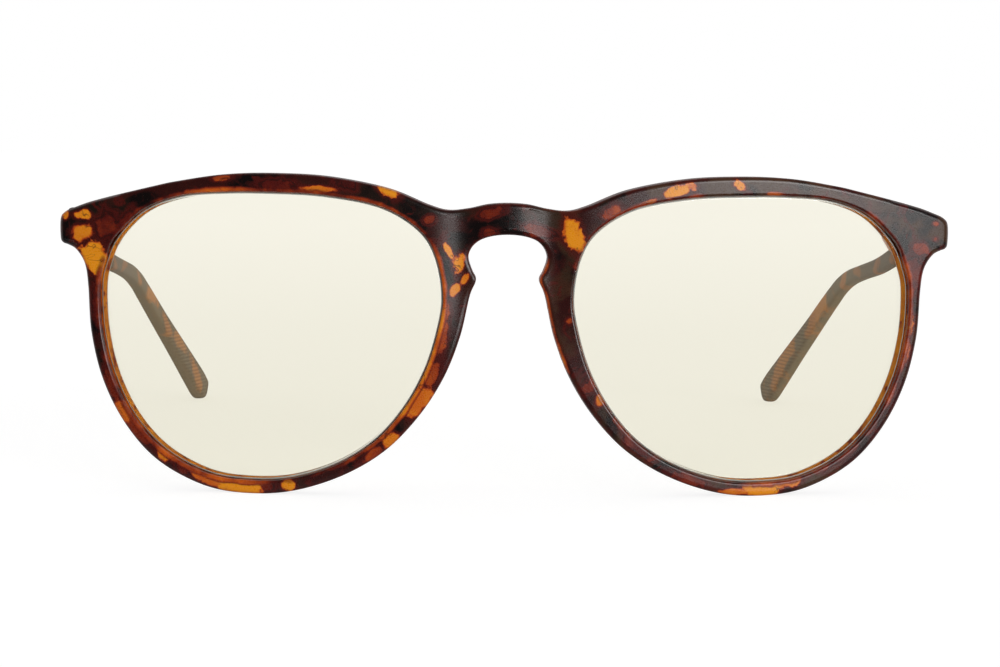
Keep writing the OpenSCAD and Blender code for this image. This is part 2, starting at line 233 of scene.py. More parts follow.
def grid_faces(rows, cols, close_rows=False, close_cols=False, first=0):
    """Quads of a grid of points numbered row by row."""
    r = np.arange(rows if close_rows else rows - 1)
    c = np.arange(cols if close_cols else cols - 1)
    r, c = (x.ravel() for x in np.meshgrid(r, c, indexing="ij"))
    r2, c2 = (r + 1) % rows, (c + 1) % cols
    return np.stack([r * cols + c, r * cols + c2, r2 * cols + c2, r2 * cols + c], 1) + first


def mesh_object(name, grids, attributes=()):
    """One closed mesh from grids of points in mm: (points, faces, {attribute: values}).
    Doubles are merged, normals turned outwards and all faces shaded smooth."""
    points = np.concatenate([g[0] for g in grids]) * MM
    counts = np.cumsum([0] + [len(g[0]) for g in grids])
    faces = np.concatenate([g[1] + c for g, c in zip(grids, counts)])
    mesh = bpy.data.meshes.new(name)
    mesh.vertices.add(len(points))
    mesh.vertices.foreach_set("co", points.astype(np.float32).ravel())
    mesh.loops.add(faces.size)
    mesh.loops.foreach_set("vertex_index", faces.ravel().astype(np.int32))
    mesh.polygons.add(len(faces))
    mesh.polygons.foreach_set("loop_start", np.arange(0, faces.size, 4, dtype=np.int32))
    mesh.update(calc_edges=True)
    for key in attributes:
        values = np.concatenate([g[2][key] for g in grids])
        layer = mesh.attributes.new(key, "FLOAT", "POINT")
        layer.data.foreach_set("value", values.astype(np.float32))
    bm = bmesh.new()
    bm.from_mesh(mesh)
    bmesh.ops.remove_doubles(bm, verts=bm.verts, dist=0.0004 * MM)
    bmesh.ops.dissolve_degenerate(bm, edges=bm.edges, dist=0.0001 * MM)
    bmesh.ops.recalc_face_normals(bm, faces=bm.faces)
    open_edges = sum(1 for e in bm.edges if len(e.link_faces) != 2)
    volume = bm.calc_volume(signed=True)
    bm.to_mesh(mesh)
    bm.free()
    if open_edges:
        raise RuntimeError(f"{name} has {open_edges} edges without two faces")
    if volume < 0:
        raise RuntimeError(f"{name} is inside out")
    mesh.polygons.foreach_set("use_smooth", np.ones(len(mesh.polygons), bool))
    made = bpy.data.objects.new(name, mesh)
    bpy.context.scene.collection.objects.link(made)
    return made


def sag(x):
    """How far the wrapped front has fallen back at a distance x from the bridge."""
    return WRAP_R - np.sqrt(WRAP_R ** 2 - x ** 2)


# ------------------------------ the front

# The rounding of each edge: how far it reaches across the face and down the wall.
FILLETS = {"front_out": (0.75, 0.5), "front_in": (0.38, 0.35),
           "back_out": (0.6, 0.5), "back_in": (0.35, 0.35)}
# The wall that faces the lens: how far out, and the share of the way to the back.
GROOVE = [(0, 0.25), (0, 0.36), (0.45, 0.4), (0.45, 0.6), (0, 0.64), (0, 0.8), (0, 0.9)]
FACE_ROWS, LIP_ROWS, WALL_ROWS = 20, 5, 11
# A nose pad: how far it stands back, half its length, its height, flare and width.
PAD_DEPTH, PAD_HALF, PAD_Z, PAD_FLARE, PAD_W = 5.5, 8.8, 25.6, 12, 2.6
# The valleys beside the bridge: depth, distance from the middle and width.
VALLEY_DEEP, VALLEY_X, VALLEY_W = 0.8, 6.6, 3.4
# How far round the lens, in points, the middle line of the bridge starts and ends.
MIDDLE_FROM, MIDDLE_TO = 8.9, 9.3


def front_depths(x, z):
    """Depth of the front surface behind the bridge, the back surface's, and how far
    a wall there leans with the wrap. The bridge stands proud between two shallow
    valleys, and the end pieces run back to the hinges."""
    ax = np.abs(x)
    top = smooth(z, BRIDGE_Z - 26, BRIDGE_Z - 10)
    face = sag(x) + VALLEY_DEEP * np.exp(-((ax - VALLEY_X) / VALLEY_W) ** 2) * top
    block = smooth(ax, HALF_W - 10, HALF_W - 8.7) * smooth(z, EAR_Z - 4.2, EAR_Z - 3.2)
    back = sag(x) + FRONT_T
    back = back + (EAR_Y - FACE_Y - back) * block
    lean = 1 - smooth(ax, HALF_W - 6.5, HALF_W - 4) * smooth(z, EAR_Z - 7.5, EAR_Z - 3.5)
    return face, back, lean


def placed(p, s):
    """Points at (x, z) = p, a share s of the way from the front surface to the back,
    along a line that leans with the wrap."""
    x, z = p[..., 0], p[..., 1]
    face, back, lean = front_depths(x, z)
    depth = face + s * (back - face)
    return np.stack([x - lean * (s * FRONT_T) * x / WRAP_R, FACE_Y + depth, z], -1)


def round_rows(fillet, count):
    """Offsets from an edge and from a face round a quarter ellipse, edge first."""
    across, deep = fillet
    a = np.linspace(0, math.pi / 2, count + 1)
    return across * (1 - np.cos(a)), deep * (1 - np.sin(a))


def raise_pad(points, lift, normal):
    """Moves points back by lift, and away from the nose by the flare's share of it."""
    flare = math.tan(math.radians(PAD_FLARE))
    points[..., 1] += lift
    points[..., 0] -= lift * flare * normal[:, 0]
    points[..., 2] -= lift * flare * normal[:, 1]


def warm_field(x, z, patches):
    """How deep each place lies inside a patch, and that patch's warmth: every patch is
    a hill that falls from its middle through 0 at its rim, and the highest one counts."""
    field, heat = np.full(np.shape(x), -1.0), np.full(np.shape(x), 0.3)
    for px, pz, long, wide, turn, warmth in patches:
        c, s = math.cos(math.radians(turn)), math.sin(math.radians(turn))
        u, w = (x - px) * c + (z - pz) * s, (z - pz) * c - (x - px) * s
        away = np.sqrt((u / long) ** 2 + (w / wide) ** 2)
        hill = np.minimum(1.6 * (1 - away), 1)
        heat = np.where(hill > field, warmth, heat)
        field = np.maximum(field, hill)
    return field, heat


def round_the_lens():
    """Points of the lens edge in turn, each with the outline point that it is joined to,
    and the normals of both. Beside the bridge's middle line there is no outline: mid is
    the share of the way from its top down to the keyhole there, and NaN elsewhere."""
    spans = [(0, 4, AT_0, AT_4, 150), (4, 8, AT_4, AT_8, 60),
             (8, MIDDLE_FROM, AT_8, 0, 46), (MIDDLE_FROM, MIDDLE_TO, None, None, 12),
             (MIDDLE_TO, 11, AT_END, AT_11, 50), (11, 24, AT_11, AT_0, 250)]
    lens_t, out_t, mid = [], [], []
    for a, b, out_a, out_b, count in spans:
        lens_t.append(even(LENS_EDGE, a, b, count)[:-1])
        if out_a is None:
            out_t.append(np.zeros(count - 1))
            mid.append(np.linspace(0, 1, count)[:-1])
        else:
            out_t.append(even(OUTLINE, out_a, out_b, count)[:-1])
            mid.append(np.full(count - 1, np.nan))
    lens_t, out_t, mid = (np.concatenate(x) for x in (lens_t, out_t, mid))
    outer, outer_n = spline(OUTLINE, out_t), -outward(OUTLINE, out_t)
    outer_n[~np.isnan(mid)] = 0
    outer_n[np.abs(outer[:, 0]) < 1e-6] *= (0, 1)
    return lens_t, mid, spline(LENS_EDGE, lens_t), outward(LENS_EDGE, lens_t), outer, outer_n


def pad_heights(edge):
    """How far the nose pad stands back at each point of the outline: a hill over the way
    run along it, 1 less the square of the share of half its length, to the power 1.25."""
    run = np.concatenate([[0], np.cumsum(np.linalg.norm(np.diff(edge, axis=0), axis=1))])
    nasal = np.flatnonzero((edge[:, 0] < GAP * 0.55) & (edge[:, 1] < BRIDGE_Z - 8))
    centre = nasal[np.argmin(np.abs(edge[nasal, 1] - PAD_Z))]
    along = (run - run[centre]) / PAD_HALF
    return PAD_DEPTH * np.clip(1 - along ** 2, 0, 1) ** 1.25


def wall_strip(edge, normal, fillets, height):
    """The strip along the outline: back rounding, wall and front rounding. Where there
    is a pad, the wall's rows are spread over the wall and the pad's flank together.
    Returns the points, each row's step in from the edge and how far it is on the wall."""
    off_b, deep_b = round_rows(fillets["back_out"], 5)
    off_f, deep_f = round_rows(fillets["front_out"], 6)
    wall = np.linspace(1 - deep_b[0] / FRONT_T, deep_f[0] / FRONT_T, WALL_ROWS + 2)[1:-1]
    offs = np.concatenate([off_b[::-1], 0 * wall, off_f])
    shares = np.concatenate([1 - deep_b[::-1] / FRONT_T, wall, deep_f / FRONT_T])
    first, last = len(off_b), len(off_b) + WALL_ROWS
    wall_l = FRONT_T * (shares[first - 1] - shares[last])
    left = (last - np.arange(first, last))[:, None] / (WALL_ROWS + 1)
    run = left * (wall_l + height)
    has_pad = height > 0.01
    rise = np.zeros((len(shares), len(edge)))
    rise[:first] = 1
    flank = np.clip((run - wall_l) / np.maximum(height, 1e-6), 0, 1)
    rise[first:last] = np.where(has_pad, flank, 0)
    depth = np.repeat(shares[:, None], len(edge), 1)
    wall_depth = shares[last] + np.minimum(run, wall_l) / FRONT_T
    depth[first:last] = np.where(has_pad, wall_depth, depth[first:last])
    strip = placed(edge - offs[:, None, None] * normal, depth)
    raise_pad(strip, rise * height, normal)
    return strip, offs, smooth(np.minimum(shares, 1 - shares), 0.0, 0.12)


def half_front(edge_round):
    """The wearer's left half as grids of points. A section is carried round the
    lens opening, from the outline to the lens's edge and back behind it."""
    fillets = dict(FILLETS, front_out=(edge_round, FILLETS["front_out"][1]))
    lens_t, mid, inner, inner_n, outer, outer_n = round_the_lens()
    on_mid = ~np.isnan(mid)

    def outer_edge(kind):
        """The outline moved in by the rounding, with the middle line filled in."""
        across = fillets[kind][0]
        moved = outer - across * outer_n
        top, low = OUTLINE[0][1] - across, OUTLINE[AT_END][1] + across
        moved[on_mid] = np.stack([0 * mid[on_mid], top + (low - top) * mid[on_mid]], 1)
        return moved

    # The sheet, row by row: front face, rounding, groove, rounding, back face. Each
    # row goes with its share of the way to the back.
    v = np.linspace(0, 1, FACE_ROWS + 1)
    v = (0.5 * v + 0.5 * smooth(v, 0, 1))[:, None, None]
    start, end = outer_edge("front_out"), inner + fillets["front_in"][0] * inner_n
    face = start + v * (end - start)
    start, end = inner + fillets["back_in"][0] * inner_n, outer_edge("back_out")
    back = start + v[1:] * (end - start)
    off_f, deep_f = (x[::-1][1:] for x in round_rows(fillets["front_in"], LIP_ROWS))
    off_b, deep_b = (x[1:] for x in round_rows(fillets["back_in"], LIP_ROWS - 1))
    out, deep = np.array(GROOVE).T
    lens_side = np.concatenate([off_f, out, off_b])[:, None, None] * inner_n
    flat = np.concatenate([face, inner + lens_side, back])
    share = np.concatenate([np.zeros(len(face)), deep_f / FRONT_T, deep, 1 - deep_b / FRONT_T,
                            np.ones(len(back))])
    share = np.repeat(share[:, None], len(inner), 1)
    sheet = placed(flat, share)
    # How far back each place inside the lens opening lies; the material paints shade at the
    # front and light from behind at the back by it.
    inside = np.zeros(share.shape)
    inside[len(face):-len(back)] = 0.3 + 0.7 * share[len(face):-len(back)]

    # The strip runs along the outline from the keyhole round to the top of the bridge.
    kept = np.flatnonzero(~on_mid)
    past_middle = lens_t[kept] >= MIDDLE_TO - 0.1
    order = np.concatenate([kept[past_middle], kept[~past_middle]])
    edge = np.concatenate([outer[order], [[0, OUTLINE[0][1]]]])
    normal = np.concatenate([outer_n[order], [[0, 1]]])
    height = pad_heights(edge)
    strip, offs, on_wall = wall_strip(edge, normal, fillets, height)
    on_wall = np.repeat(on_wall[:, None], len(edge), 1)

    # The back face rises to the pad.
    sheet_height = np.zeros(len(inner))
    sheet_height[order] = height[:-1]
    ridge = 1 - smooth(np.linalg.norm(flat - outer, axis=2), 1.9, PAD_W + 0.3)
    ridge[:-len(back)] = 0
    raise_pad(sheet, sheet_height * ridge, outer_n)

    # How close the front face is to the lens, and where round the lens it is.
    near = np.zeros(share.shape)
    lip = slice(0, len(face) + LIP_ROWS)
    near[lip] = 1 - smooth(np.linalg.norm(flat[lip] - inner, axis=2), 0.3, 1.3)
    around = np.repeat(lens_t[None], len(share), 0)
    # Beside the nose the outer edge glows too; there it has no place round the lens.
    nose = (smooth(-edge[:, 0], -GAP * 0.5, -GAP * 0.46)
            * smooth(-edge[:, 1], 3 - BRIDGE_Z, 7 - BRIDGE_Z) * smooth(edge[:, 1], 12, 20))
    glow = (1 - smooth(offs, 0.1, 0.7))[:, None] * nose
    return [
        (sheet, grid_faces(*sheet.shape[:2], close_cols=True), 0 * share, inside, near, around),
        (strip, grid_faces(*strip.shape[:2]), on_wall, 0 * on_wall, glow, 0 * on_wall - 1)]


def build_front(edge_round):
    """Both halves as one closed mesh, with what drives the plastic at each point: its
    patches, how far it is on a wall, inside the lens opening or close to a glowing lip."""
    grids = []
    for sign in (1, -1):
        glow = LIP_GLOW[sign] + LIP_GLOW[sign][:1]
        for points, faces, wall, inside, near, around in half_front(edge_round):
            p = points * (sign, 1, 1)
            warm, heat = warm_field(p[..., 0], p[..., 2], PATCHES)
            lip = near * np.where(around < 0, NOSE_GLOW[sign],
                                  np.interp(around, range(len(glow)), glow))
            grids.append((p.reshape(-1, 3), faces,
                          {"wall": wall.ravel(), "inside": inside.ravel(),
                           "warm": warm.ravel(), "warmth": heat.ravel(), "lip": lip.ravel()}))
    return mesh_object("front_tortoise", grids, ("wall", "inside", "warm", "warmth", "lip"))


# ------------------------------ a lens

def build_lens(side):
    """A meniscus that follows the wrap: rings shrink from the edge to the middle on
    both faces, and the edge carries a tongue that sits in the rim's groove."""
    sign = 1 if side == "left" else -1
    t = np.linspace(0, len(LENS_SHAPE), 289)[:-1]
    edge, normal = spline(LENS_EDGE, t), outward(LENS_EDGE, t)
    middle = np.array([LENS_X, LENS_Z])
    d0, d1 = (FRONT_T - LENS_T) / 2, (FRONT_T + LENS_T) / 2
    # The edge's profile: how far out, how deep, and how much of it is ground.
    profile = [(-0.45, d0, 0), (-0.32, d0, 0.4), (-0.07, d0 + 0.22, 0.5), (-0.05, 1.55, 1),
               (0.4, 1.72, 1), (0.4, 2.28, 1), (-0.05, 2.45, 1), (-0.07, d1 - 0.22, 1),
               (-0.32, d1, 1), (-0.45, d1, 0)]
    out, deep, ground = (np.array(column, float) for column in zip(*profile))
    rings = (1 - np.linspace(0, 1, 19)[1:] ** 1.3)[:, None, None]
    start = edge + out[0] * normal
    disc = middle + rings * (start - middle)
    flat = np.concatenate([disc[::-1], edge + out[:, None, None] * normal, disc])
    flats = np.ones(len(disc))
    share = np.concatenate([d0 * flats, deep, d1 * flats])[:, None] / FRONT_T
    share = np.repeat(share, len(t), 1)
    x, z = flat[..., 0], flat[..., 1]
    points = np.stack([x - share * FRONT_T * x / WRAP_R,
                       FACE_Y + sag(x) + share * FRONT_T, z], -1) * (sign, 1, 1)
    rim = np.repeat(np.concatenate([0 * flats, ground, 0 * flats])[:, None], len(t), 1)
    made = mesh_object(f"lens_clear_{side}", [(
        points.reshape(-1, 3), grid_faces(*flat.shape[:2], close_cols=True),
        {"rim": rim.ravel()})], ("rim",))
    # The faces of the ground edge take the second material.
    mesh = made.data
    at = np.empty(len(mesh.vertices), np.float32)
    mesh.attributes["rim"].data.foreach_get("value", at)
    corner = np.empty(len(mesh.loops), np.int32)
    mesh.loops.foreach_get("vertex_index", corner)
    start = np.empty(len(mesh.polygons), np.int32)
    mesh.polygons.foreach_get("loop_start", start)
    total = np.diff(np.append(start, len(corner)))
    hazy = np.add.reduceat(at[corner], start) / total > 0.3
    mesh.polygons.foreach_set("material_index", hazy.astype(np.int32))
    return made


# ------------------------------ a temple

def temple_sections(mid, half):
    """The bar's sections in turn: each point's distance back and height, and its share
    across from the inner face, -1, to the outer, 1. The root has a small fillet out of
    its end face, and the tip closes in a round."""
    a = np.linspace(0, 2 * math.pi, SECTION_POINTS + 1)[:-1]
    up = np.sign(np.sin(a)) * np.abs(np.sin(a)) ** (2 / SQUARE)
    out = np.sign(np.cos(a)) * np.abs(np.cos(a)) ** (2 / SQUARE)
    start = (mid[1] - mid[0]) / np.linalg.norm(mid[1] - mid[0])
    end = (mid[-1] - mid[-2]) / np.linalg.norm(mid[-1] - mid[-2])
    rows = [(mid[0] + back * start, half[0], size)
            for back, size in ((0, 0), (0, 0.55), (0, 0.86), (0.08, 0.94), (0.25, 0.985))]
    rows += [(mid[i], half[i], 1) for i in range(2, len(mid) - 1)]
    rows += [(mid[-1] - 0.9 * end * (1 - math.sin(angle)), half[-1], math.cos(angle) ** 0.45)
             for angle in np.radians(np.linspace(15, 90, 6))]
    return (np.stack([m + size * up[:, None] * h for m, h, size in rows]),
            np.stack([size * out for _, _, size in rows]))


def build_temple(side):
    """A rounded bar: at each station a superellipse spans the top and low edges and
    the inner and outer faces."""
    sign = 1 if side == "left" else -1
    scale = TEMPLE_L / PLAN_L
    top_t = even(TOP_EDGE, 0, len(TOP_EDGE) - 1, STATIONS, False)
    low_t = even(LOW_EDGE, 0, len(LOW_EDGE) - 1, STATIONS, False)
    top = spline(TOP_EDGE, top_t, False) * (scale, 1)
    low = spline(LOW_EDGE, low_t, False) * (scale, 1)
    mid, half = (top + low) / 2, (top - low) / 2
    p, out_share = temple_sections(mid, half)
    s = p[..., 0]
    # Inner face and thickness as curves of the distance back; the tip runs on straight.
    knots = np.array([(0, 0)] + INNER) * (1, BOW)
    t = np.linspace(1, len(knots) - 1, 200)
    curve = spline(knots, t, False)
    curve = np.concatenate([[[-5, 0], [0, 0]], curve, [curve[-1] + (25.5, -25 * TIP_SLOPE)]])
    inner = np.interp(s / scale, curve[:, 0], curve[:, 1])
    thick = ARM_T + (ROOT_T - ARM_T) * (1 - smooth(s, 14, 30))
    # A scallop leaves room for the knuckles.
    y = TEMPLE_Y + s
    room = np.sqrt(np.clip(KNUCKLE_ROOM ** 2 - (y - PIVOT[1]) ** 2, 0, None))
    room = np.clip(room - (INNER_X - PIVOT[0]), 0, None)
    x = INNER_X + inner + room + (thick - room) * (0.5 + 0.5 * out_share)
    points = np.stack([sign * x, y, p[..., 1]], -1)
    inner_face = smooth(-out_share, 0.5, 0.8)
    grip = smooth(s, 108, 112) * inner_face
    middle = np.interp(s, mid[:, 0], mid[:, 1])
    tall = np.interp(s, mid[:, 0], half[:, 1])
    across = p[..., 1] - middle
    # The left temple's patches lie elsewhere, and its tip is warmer.
    shift, more = (3, 0.5) if side == "left" else (0, 0)
    patches = [(q[0] + shift * (-1) ** k, 0, q[2], q[3], 12 * (-1) ** k, q[4])
               for k, q in enumerate(TEMPLE_PATCHES)]
    offset = np.interp(s, [q[0] for q in TEMPLE_PATCHES], [q[1] for q in TEMPLE_PATCHES])
    warm, heat = warm_field(s, across - offset * tall, patches)
    warm = warm + more * smooth(s, 60, 100)
    wall = 0.6 * smooth(np.abs(across) / tall, 0.8, 1.0)
    # Painted sheen: the inner face and the underside of the tip are painted lighter, standing in
    # for the light that washes over them there.
    painted_sheen = np.maximum(inner_face, smooth(-across / tall, 0.4, 0.8))
    return mesh_object(f"temple_tortoise_{side}", [(
        points.reshape(-1, 3), grid_faces(*s.shape, close_cols=True),
        {"wall": wall.ravel(), "grip": grip.ravel(), "warm": warm.ravel(),
         "warmth": heat.ravel(), "painted_sheen": painted_sheen.ravel()})],
        ("wall", "grip", "warm", "warmth", "painted_sheen"))


# ------------------------------ hinges and screws

def eased_copy(node, width, name):
    """A copy of a small metal piece whose sharp edges are broken by a fine bevel."""
    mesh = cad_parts[node].data.copy()
    bm = bmesh.new()
    bm.from_mesh(mesh)
    bmesh.ops.remove_doubles(bm, verts=bm.verts, dist=0.002 * MM)
    bmesh.ops.dissolve_limit(bm, angle_limit=math.radians(1), verts=bm.verts, edges=bm.edges)
    bm.to_mesh(mesh)
    bm.free()
    made = bpy.data.objects.new(name, mesh)
    bpy.context.scene.collection.objects.link(made)
    mesh.polygons.foreach_set("use_smooth", np.ones(len(mesh.polygons), bool))
    edge = made.modifiers.new("eased edges", "BEVEL")
    edge.width = width * MM
    edge.segments = 2
    edge.limit_method = "ANGLE"
    edge.angle_limit = math.radians(35)
    edge.harden_normals = True
    return made


# ------------------------------ materials

class Nodes:
    """Makes and links the nodes of one material, or of the world."""

    def __init__(self, owner, output="ShaderNodeOutputMaterial"):
        owner.use_nodes = True
        self.owner, self.tree = owner, owner.node_tree
        self.tree.nodes.clear()
        self.output = self.make(output)

    def put(self, socket, value):
        if hasattr(value, "is_linked"):
            self.tree.links.new(value, socket)
        else:
            socket.default_value = value

    def make(self, kind, inputs=None, **settings):
        node = self.tree.nodes.new(kind)
        for key, value in settings.items():
            setattr(node, key, value)
        for key, value in (inputs or {}).items():
            self.put(node.inputs[key], value)
        return node

    def math(self, operation, a, b=0.0, c=0.0):
        return self.make("ShaderNodeMath", {0: a, 1: b, 2: c}, operation=operation).outputs[0]

    def step(self, value, low, high):
        """0 below low, 1 above high, smooth between."""
        return self.make("ShaderNodeMapRange", {0: value, 1: low, 2: high},
                         interpolation_type="SMOOTHSTEP").outputs[0]

    def mix(self, share, a, b):
        """The colour a where share is 0 and b where it is 1. Fixed ones are (r, g, b)."""
        a, b = (c if hasattr(c, "is_linked") else (*c, 1) for c in (a, b))
        return self.make("ShaderNodeMix", {0: share, 6: a, 7: b}, data_type="RGBA").outputs[2]

    def part(self, vector, axis):
        return self.make("ShaderNodeSeparateXYZ", {0: vector}).outputs[axis]

    def ramp(self, value, stops):
        node = self.make("ShaderNodeValToRGB", {"Fac": value})
        ends = node.color_ramp.elements
        ends[0].position, ends[1].position = stops[0][0], stops[-1][0]
        for place, _ in stops[1:-1]:
            ends.new(place)
        for element, (_, shade) in zip(ends, stops):
            element.color = (*shade, 1)
        return node.outputs["Color"]

    def object_place(self):
        return self.make("ShaderNodeTexCoord").outputs["Object"]

    def noise(self, place, scale, detail=2.0, rough=0.5, twist=0.0):
        return self.make("ShaderNodeTexNoise", {
            "Vector": place, "Scale": scale, "Detail": detail, "Roughness": rough,
            "Distortion": twist}).outputs["Fac"]

    def attribute(self, name):
        return self.make("ShaderNodeAttribute", attribute_name=name).outputs["Fac"]

    def bump(self, height, strength, distance):
        return self.make("ShaderNodeBump", {"Height": height, "Strength": strength,
                                            "Distance": distance}).outputs["Normal"]

    def surface(self, shader):
        self.tree.links.new(shader.outputs[0], self.output.inputs["Surface"])
        return self.owner


# Noise scales, in cycles per metre: the patches' ragged edges, specks, large clouds,
# brown marbling, red halos, veins, the breaks in them and the satin grain.
RAGGED, SPECKS, CLOUDS, MARBLING = 330, 1300, 95, 150
HALOS, VEINS, BREAKS, GRAIN = 230, 180, 130, 5200


def tortoise(props):
    """Warm patches with ragged edges and long dark veins lie in a near-black brown
    that clouds to maroon. Thin edges let the light through, so they glow red to amber."""
    n = Nodes(bpy.data.materials.new("tortoise_plastic"))
    place = n.object_place()
    # How deep a place lies inside a patch, made ragged.
    coarse = n.noise(place, RAGGED, 3.0, 0.55, 0.6)
    fine = n.noise(place, SPECKS, 2.0, 0.5, 0.3)
    off = n.math("SUBTRACT", coarse, 0.5)
    warm = n.math("MULTIPLY_ADD", off, 2.6, n.attribute("warm"))
    warm = n.math("MULTIPLY_ADD", n.math("SUBTRACT", fine, 0.5), 0.7, warm)
    # The ground.
    clouds = n.step(n.noise(place, CLOUDS, 2.0, 0.5, 0.8), 0.47, 0.53)
    ground = n.mix(n.math("MULTIPLY", clouds, 0.9), props.dark, props.maroon)
    # The brown marbling is the plastic's own, but it is painted stronger towards the wearer's
    # left, where the key light's sheen falls, to tint that sheen warm: painted sheen colour.
    across = n.part(place, "X")
    sheen_side_brown = n.math("MULTIPLY_ADD", n.step(across, -0.015, 0.03), 0.75, 0.15)
    brown = n.step(n.noise(place, MARBLING, 3.0, 0.6, 0.4), 0.44, 0.58)
    ground = n.mix(n.math("MULTIPLY", brown, sheen_side_brown), ground, props.brown)
    red = n.step(n.noise(place, HALOS, 3.0, 0.6, 1.2), 0.58, 0.66)
    red = n.math("MAXIMUM", red, n.step(warm, -0.9, 0.0))
    ground = n.mix(n.math("MULTIPLY", red, 0.75), ground, props.red)
    # The patches.
    depth = n.math("MULTIPLY_ADD", n.step(warm, 0.0, 0.55), 0.5, 0.5)
    heat = n.math("MULTIPLY_ADD", off, 0.35, n.math("MULTIPLY", n.attribute("warmth"), depth))
    glow = n.ramp(heat, [
        (0.2, props.maroon), (0.3, props.red), (0.46, props.rust), (0.62, props.orange),
        (0.8, props.amber), (1.0, props.honey)])
    base = n.mix(n.step(warm, 0.0, 0.12), ground, glow)
    # The walls: partly the plastic's own warmer colour where it is cut, partly painted glow of
    # light through the thin plastic. And the edges beside the lens and the nose, painted glowing
    # red to amber.
    wall = n.attribute("wall")
    lit = n.mix(n.step(coarse, 0.42, 0.68), props.red, props.rust)
    base = n.mix(n.math("MULTIPLY", wall, 0.5), base, lit)
    lip = n.math("MULTIPLY_ADD", off, 0.9, n.attribute("lip"))
    edge = n.ramp(lip, [
        (0.2, props.maroon), (0.4, props.red), (0.6, props.rust), (0.85, props.orange),
        (1.0, props.amber)])
    base = n.mix(n.step(lip, 0.22, 0.6), base, edge)
    # The veins lie where the noise passes its middle.
    veins = n.math("ABSOLUTE", n.math("SUBTRACT", n.noise(place, VEINS, 2.0, 0.55, 1.8), 0.5))
    veins = n.math("SUBTRACT", 1.0, n.step(veins, 0.003, 0.012))
    veins = n.math("MULTIPLY", veins, n.step(n.noise(place, BREAKS, 1.0), 0.46, 0.52))
    base = n.mix(n.math("MULTIPLY", veins, 0.65), base, props.maroon)
    # The inside of the lens opening: painted light and shade, dark red at the front, which lies
    # in shade, warming to amber and honey towards the back, which is lit from behind.
    inside = n.attribute("inside")
    back = n.ramp(n.math("MULTIPLY_ADD", off, 0.5, inside), [
        (0.3, props.maroon), (0.4, props.red), (0.47, props.orange), (0.6, props.amber),
        (0.8, props.honey), (1.0, props.orange)])
    base = n.mix(n.step(inside, 0.36, 0.48), base, back)
    # Painted sheen on the temples' inner side and the underside of their tips: a lighter olive
    # and tan stand in for the light that washes over them. And the fine lines near their tips.
    hazy = n.mix(n.step(warm, -0.5, 0.5), props.painted_sheen_olive, props.tan)
    back_at = n.part(place, "Y")
    hazy = n.mix(n.math("MULTIPLY_ADD", n.step(back_at, -0.02, 0.05), -0.6, 0.6), hazy,
                 props.brown)
    base = n.mix(n.math("MULTIPLY", n.attribute("painted_sheen"), 0.85), base, hazy)
    lines = n.make("ShaderNodeTexWave", {"Vector": place, "Scale": 420.0, "Distortion": 0.0},
                   wave_type="BANDS", bands_direction="Z", wave_profile="SIN").outputs["Fac"]
    lines = n.math("MULTIPLY", lines, n.attribute("grip"))
    base = n.mix(n.math("MULTIPLY", lines, 0.4), base, props.brown)
    # The satin surface.
    grain = n.noise(place, GRAIN, 3.0)
    rough = n.math("MULTIPLY_ADD", n.math("SUBTRACT", grain, 0.5), 0.12, 0.28)
    rough = n.math("MULTIPLY_ADD", n.attribute("painted_sheen"), 0.35, rough)
    rough = n.math("MULTIPLY_ADD", wall, 0.25, rough)
    height = n.math("MULTIPLY_ADD", lines, 1.5, grain)
    return n.surface(n.make("ShaderNodeBsdfPrincipled", {
        "Base Color": base, "Roughness": rough, "Specular IOR Level": 0.5,
        "Normal": n.bump(height, 0.2, 0.00004)}))


def clear_lens(props):
    """A clear lens with a faint yellow tint that deepens towards the bottom."""
    n = Nodes(bpy.data.materials.new("clear_lens"))
    high = n.part(n.object_place(), "Z")
    tint = n.ramp(n.math("MULTIPLY", high, 20.0), [
        (0.16, props.tint_low), (0.52, props.tint_middle), (0.84, props.tint_high)])
    return n.surface(n.make("ShaderNodeBsdfPrincipled", {
        "Base Color": tint, "Roughness": 0.0, "IOR": 1.45, "Transmission Weight": 1.0}))


def ground_edge(props):
    """The hazy ground edge of a lens. Where it sits in the groove it is painted in the groove's
    warm colours, a painted reflection of the plastic round it.
    """
    n = Nodes(bpy.data.materials.new("lens_ground_edge"))
    painted_groove_reflection = n.ramp(n.noise(n.object_place(), RAGGED, 3.0, 0.55, 0.6), [
        (0.38, props.rust), (0.46, props.amber), (0.6, props.honey)])
    edge = n.mix(n.step(n.attribute("rim"), 0.5, 0.75), (0.62, 0.66, 0.6), painted_groove_reflection)
    return n.surface(n.make("ShaderNodeBsdfPrincipled", {"Base Color": edge, "Roughness": 0.5}))


def hinge_metal(props):
    """Nickel with fine marks drawn along it, duller in the hollows of the grain."""
    n = Nodes(bpy.data.materials.new("drawn_nickel"))
    place = n.object_place()
    drawn = n.make("ShaderNodeVectorMath", {0: place, 1: (300, 300, 4500)},
                   operation="MULTIPLY").outputs[0]
    marks = n.noise(drawn, 1.0, 3.0, 0.6)
    spots = n.noise(place, 900, 2.0)
    metal = n.mix(spots, [0.845 * c for c in props.nickel], props.nickel)
    rough = n.math("MULTIPLY_ADD", marks, 0.22, 0.2)
    return n.surface(n.make("ShaderNodeBsdfPrincipled", {
        "Base Color": metal, "Metallic": 1.0, "Roughness": rough,
        "Normal": n.bump(marks, 0.3, 0.00002)}))


def dress(obj, looks, body, nodes):
    """Gives a piece its materials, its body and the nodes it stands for."""
    if obj.data.materials:
        obj.data.materials.clear()
    for look in looks:
        obj.data.materials.append(look)
    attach(obj, body)
    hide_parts(*nodes)


# ------------------------------ the stage

# Where the key light stands, in degrees to the wearer's left and up, and its spread.
KEY_SIDE, KEY_HIGH, KEY_SPREAD = 33, 3, 36
